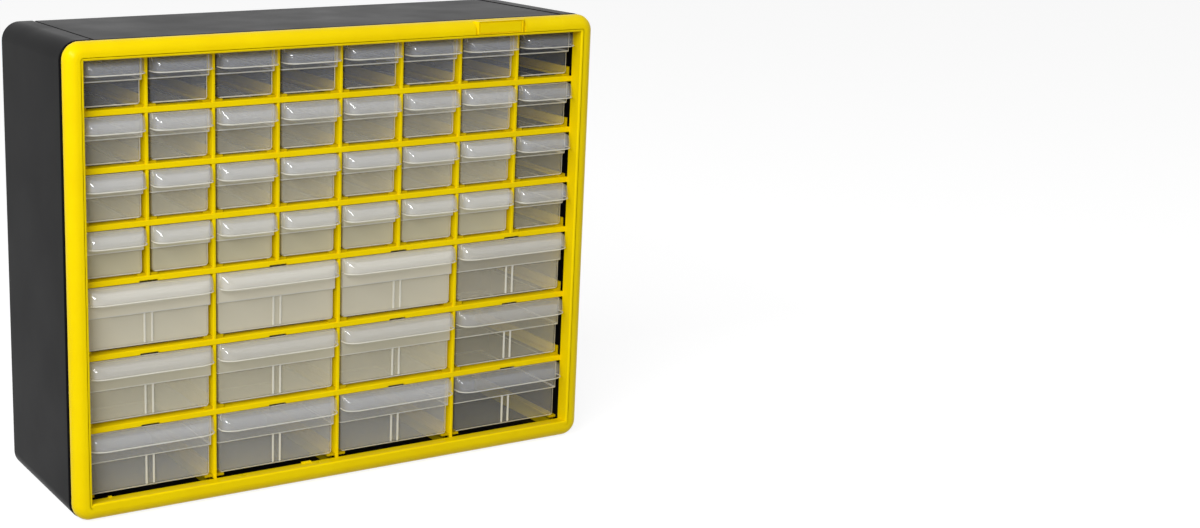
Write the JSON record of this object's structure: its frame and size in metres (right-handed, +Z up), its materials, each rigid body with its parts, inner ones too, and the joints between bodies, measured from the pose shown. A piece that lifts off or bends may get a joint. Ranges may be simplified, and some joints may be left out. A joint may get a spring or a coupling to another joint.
{
  "type": "parts bin cabinet",
  "caption": "Free-standing parts cabinet: dark rounded housing, bright front frame with a drawer grid, and rows of small and large clear drawers that slide out on rails.",
  "frame": {"origin": "middle of the footprint, on the surface the cabinet stands on", "axes": "+X to the right as seen from the front, -Y out of the front, +Z up"},
  "size_m": [0.508, 0.158, 0.402],
  "materials": {
    "housing_black": "fine moulded texture, charcoal black polystyrene",
    "frame_yellow": "glossy injection-moulded yellow polystyrene",
    "drawer_clear": "milky translucent polypropylene, smooth"
  },
  "bodies": {
    "cabinet": {"housing": "housing_black", "front_border": "frame_yellow", "grid_cross_bars": "frame_yellow", "grid_uprights": "frame_yellow", "runner_rails_row1": "frame_yellow", "runner_rails_row2": "frame_yellow", "runner_rails_row3": "frame_yellow", "runner_rails_row4": "frame_yellow", "runner_rails_row5": "frame_yellow", "runner_rails_row6": "frame_yellow", "runner_rails_row7": "frame_yellow"},
    "large_drawer_r1c1": {"large_drawer_r1c1": "drawer_clear"},
    "large_drawer_r1c2": {"large_drawer_r1c2": "drawer_clear"},
    "large_drawer_r1c3": {"large_drawer_r1c3": "drawer_clear"},
    "large_drawer_r1c4": {"large_drawer_r1c4": "drawer_clear"},
    "large_drawer_r2c1": {"large_drawer_r2c1": "drawer_clear"},
    "large_drawer_r2c2": {"large_drawer_r2c2": "drawer_clear"},
    "large_drawer_r2c3": {"large_drawer_r2c3": "drawer_clear"},
    "large_drawer_r2c4": {"large_drawer_r2c4": "drawer_clear"},
    "large_drawer_r3c1": {"large_drawer_r3c1": "drawer_clear"},
    "large_drawer_r3c2": {"large_drawer_r3c2": "drawer_clear"},
    "large_drawer_r3c3": {"large_drawer_r3c3": "drawer_clear"},
    "large_drawer_r3c4": {"large_drawer_r3c4": "drawer_clear"},
    "small_drawer_r1c1": {"small_drawer_r1c1": "drawer_clear"},
    "small_drawer_r1c2": {"small_drawer_r1c2": "drawer_clear"},
    "small_drawer_r1c3": {"small_drawer_r1c3": "drawer_clear"},
    "small_drawer_r1c4": {"small_drawer_r1c4": "drawer_clear"},
    "small_drawer_r1c5": {"small_drawer_r1c5": "drawer_clear"},
    "small_drawer_r1c6": {"small_drawer_r1c6": "drawer_clear"},
    "small_drawer_r1c7": {"small_drawer_r1c7": "drawer_clear"},
    "small_drawer_r1c8": {"small_drawer_r1c8": "drawer_clear"},
    "small_drawer_r2c1": {"small_drawer_r2c1": "drawer_clear"},
    "small_drawer_r2c2": {"small_drawer_r2c2": "drawer_clear"},
    "small_drawer_r2c3": {"small_drawer_r2c3": "drawer_clear"},
    "small_drawer_r2c4": {"small_drawer_r2c4": "drawer_clear"},
    "small_drawer_r2c5": {"small_drawer_r2c5": "drawer_clear"},
    "small_drawer_r2c6": {"small_drawer_r2c6": "drawer_clear"},
    "small_drawer_r2c7": {"small_drawer_r2c7": "drawer_clear"},
    "small_drawer_r2c8": {"small_drawer_r2c8": "drawer_clear"},
    "small_drawer_r3c1": {"small_drawer_r3c1": "drawer_clear"},
    "small_drawer_r3c2": {"small_drawer_r3c2": "drawer_clear"},
    "small_drawer_r3c3": {"small_drawer_r3c3": "drawer_clear"},
    "small_drawer_r3c4": {"small_drawer_r3c4": "drawer_clear"},
    "small_drawer_r3c5": {"small_drawer_r3c5": "drawer_clear"},
    "small_drawer_r3c6": {"small_drawer_r3c6": "drawer_clear"},
    "small_drawer_r3c7": {"small_drawer_r3c7": "drawer_clear"},
    "small_drawer_r3c8": {"small_drawer_r3c8": "drawer_clear"},
    "small_drawer_r4c1": {"small_drawer_r4c1": "drawer_clear"},
    "small_drawer_r4c2": {"small_drawer_r4c2": "drawer_clear"},
    "small_drawer_r4c3": {"small_drawer_r4c3": "drawer_clear"},
    "small_drawer_r4c4": {"small_drawer_r4c4": "drawer_clear"},
    "small_drawer_r4c5": {"small_drawer_r4c5": "drawer_clear"},
    "small_drawer_r4c6": {"small_drawer_r4c6": "drawer_clear"},
    "small_drawer_r4c7": {"small_drawer_r4c7": "drawer_clear"},
    "small_drawer_r4c8": {"small_drawer_r4c8": "drawer_clear"}
  },
  "joints": [
    {"name": "large_drawer_r1c1_slide", "type": "slide", "parent": "cabinet", "child": "large_drawer_r1c1", "axis": [0, -1, 0], "range_m": [0, 0.115]},
    {"name": "large_drawer_r1c2_slide", "type": "slide", "parent": "cabinet", "child": "large_drawer_r1c2", "axis": [0, -1, 0], "range_m": [0, 0.115]},
    {"name": "large_drawer_r1c3_slide", "type": "slide", "parent": "cabinet", "child": "large_drawer_r1c3", "axis": [0, -1, 0], "range_m": [0, 0.115]},
    {"name": "large_drawer_r1c4_slide", "type": "slide", "parent": "cabinet", "child": "large_drawer_r1c4", "axis": [0, -1, 0], "range_m": [0, 0.115]},
    {"name": "large_drawer_r2c1_slide", "type": "slide", "parent": "cabinet", "child": "large_drawer_r2c1", "axis": [0, -1, 0], "range_m": [0, 0.115]},
    {"name": "large_drawer_r2c2_slide", "type": "slide", "parent": "cabinet", "child": "large_drawer_r2c2", "axis": [0, -1, 0], "range_m": [0, 0.115]},
    {"name": "large_drawer_r2c3_slide", "type": "slide", "parent": "cabinet", "child": "large_drawer_r2c3", "axis": [0, -1, 0], "range_m": [0, 0.115]},
    {"name": "large_drawer_r2c4_slide", "type": "slide", "parent": "cabinet", "child": "large_drawer_r2c4", "axis": [0, -1, 0], "range_m": [0, 0.115]},
    {"name": "large_drawer_r3c1_slide", "type": "slide", "parent": "cabinet", "child": "large_drawer_r3c1", "axis": [0, -1, 0], "range_m": [0, 0.115]},
    {"name": "large_drawer_r3c2_slide", "type": "slide", "parent": "cabinet", "child": "large_drawer_r3c2", "axis": [0, -1, 0], "range_m": [0, 0.115]},
    {"name": "large_drawer_r3c3_slide", "type": "slide", "parent": "cabinet", "child": "large_drawer_r3c3", "axis": [0, -1, 0], "range_m": [0, 0.115]},
    {"name": "large_drawer_r3c4_slide", "type": "slide", "parent": "cabinet", "child": "large_drawer_r3c4", "axis": [0, -1, 0], "range_m": [0, 0.115]},
    {"name": "small_drawer_r1c1_slide", "type": "slide", "parent": "cabinet", "child": "small_drawer_r1c1", "axis": [0, -1, 0], "range_m": [0, 0.115]},
    {"name": "small_drawer_r1c2_slide", "type": "slide", "parent": "cabinet", "child": "small_drawer_r1c2", "axis": [0, -1, 0], "range_m": [0, 0.115]},
    {"name": "small_drawer_r1c3_slide", "type": "slide", "parent": "cabinet", "child": "small_drawer_r1c3", "axis": [0, -1, 0], "range_m": [0, 0.115]},
    {"name": "small_drawer_r1c4_slide", "type": "slide", "parent": "cabinet", "child": "small_drawer_r1c4", "axis": [0, -1, 0], "range_m": [0, 0.115]},
    {"name": "small_drawer_r1c5_slide", "type": "slide", "parent": "cabinet", "child": "small_drawer_r1c5", "axis": [0, -1, 0], "range_m": [0, 0.115]},
    {"name": "small_drawer_r1c6_slide", "type": "slide", "parent": "cabinet", "child": "small_drawer_r1c6", "axis": [0, -1, 0], "range_m": [0, 0.115]},
    {"name": "small_drawer_r1c7_slide", "type": "slide", "parent": "cabinet", "child": "small_drawer_r1c7", "axis": [0, -1, 0], "range_m": [0, 0.115]},
    {"name": "small_drawer_r1c8_slide", "type": "slide", "parent": "cabinet", "child": "small_drawer_r1c8", "axis": [0, -1, 0], "range_m": [0, 0.115]},
    {"name": "small_drawer_r2c1_slide", "type": "slide", "parent": "cabinet", "child": "small_drawer_r2c1", "axis": [0, -1, 0], "range_m": [0, 0.115]},
    {"name": "small_drawer_r2c2_slide", "type": "slide", "parent": "cabinet", "child": "small_drawer_r2c2", "axis": [0, -1, 0], "range_m": [0, 0.115]},
    {"name": "small_drawer_r2c3_slide", "type": "slide", "parent": "cabinet", "child": "small_drawer_r2c3", "axis": [0, -1, 0], "range_m": [0, 0.115]},
    {"name": "small_drawer_r2c4_slide", "type": "slide", "parent": "cabinet", "child": "small_drawer_r2c4", "axis": [0, -1, 0], "range_m": [0, 0.115]},
    {"name": "small_drawer_r2c5_slide", "type": "slide", "parent": "cabinet", "child": "small_drawer_r2c5", "axis": [0, -1, 0], "range_m": [0, 0.115]},
    {"name": "small_drawer_r2c6_slide", "type": "slide", "parent": "cabinet", "child": "small_drawer_r2c6", "axis": [0, -1, 0], "range_m": [0, 0.115]},
    {"name": "small_drawer_r2c7_slide", "type": "slide", "parent": "cabinet", "child": "small_drawer_r2c7", "axis": [0, -1, 0], "range_m": [0, 0.115]},
    {"name": "small_drawer_r2c8_slide", "type": "slide", "parent": "cabinet", "child": "small_drawer_r2c8", "axis": [0, -1, 0], "range_m": [0, 0.115]},
    {"name": "small_drawer_r3c1_slide", "type": "slide", "parent": "cabinet", "child": "small_drawer_r3c1", "axis": [0, -1, 0], "range_m": [0, 0.115]},
    {"name": "small_drawer_r3c2_slide", "type": "slide", "parent": "cabinet", "child": "small_drawer_r3c2", "axis": [0, -1, 0], "range_m": [0, 0.115]},
    {"name": "small_drawer_r3c3_slide", "type": "slide", "parent": "cabinet", "child": "small_drawer_r3c3", "axis": [0, -1, 0], "range_m": [0, 0.115]},
    {"name": "small_drawer_r3c4_slide", "type": "slide", "parent": "cabinet", "child": "small_drawer_r3c4", "axis": [0, -1, 0], "range_m": [0, 0.115]},
    {"name": "small_drawer_r3c5_slide", "type": "slide", "parent": "cabinet", "child": "small_drawer_r3c5", "axis": [0, -1, 0], "range_m": [0, 0.115]},
    {"name": "small_drawer_r3c6_slide", "type": "slide", "parent": "cabinet", "child": "small_drawer_r3c6", "axis": [0, -1, 0], "range_m": [0, 0.115]},
    {"name": "small_drawer_r3c7_slide", "type": "slide", "parent": "cabinet", "child": "small_drawer_r3c7", "axis": [0, -1, 0], "range_m": [0, 0.115]},
    {"name": "small_drawer_r3c8_slide", "type": "slide", "parent": "cabinet", "child": "small_drawer_r3c8", "axis": [0, -1, 0], "range_m": [0, 0.115]},
    {"name": "small_drawer_r4c1_slide", "type": "slide", "parent": "cabinet", "child": "small_drawer_r4c1", "axis": [0, -1, 0], "range_m": [0, 0.115]},
    {"name": "small_drawer_r4c2_slide", "type": "slide", "parent": "cabinet", "child": "small_drawer_r4c2", "axis": [0, -1, 0], "range_m": [0, 0.115]},
    {"name": "small_drawer_r4c3_slide", "type": "slide", "parent": "cabinet", "child": "small_drawer_r4c3", "axis": [0, -1, 0], "range_m": [0, 0.115]},
    {"name": "small_drawer_r4c4_slide", "type": "slide", "parent": "cabinet", "child": "small_drawer_r4c4", "axis": [0, -1, 0], "range_m": [0, 0.115]},
    {"name": "small_drawer_r4c5_slide", "type": "slide", "parent": "cabinet", "child": "small_drawer_r4c5", "axis": [0, -1, 0], "range_m": [0, 0.115]},
    {"name": "small_drawer_r4c6_slide", "type": "slide", "parent": "cabinet", "child": "small_drawer_r4c6", "axis": [0, -1, 0], "range_m": [0, 0.115]},
    {"name": "small_drawer_r4c7_slide", "type": "slide", "parent": "cabinet", "child": "small_drawer_r4c7", "axis": [0, -1, 0], "range_m": [0, 0.115]},
    {"name": "small_drawer_r4c8_slide", "type": "slide", "parent": "cabinet", "child": "small_drawer_r4c8", "axis": [0, -1, 0], "range_m": [0, 0.115]}
  ]
}
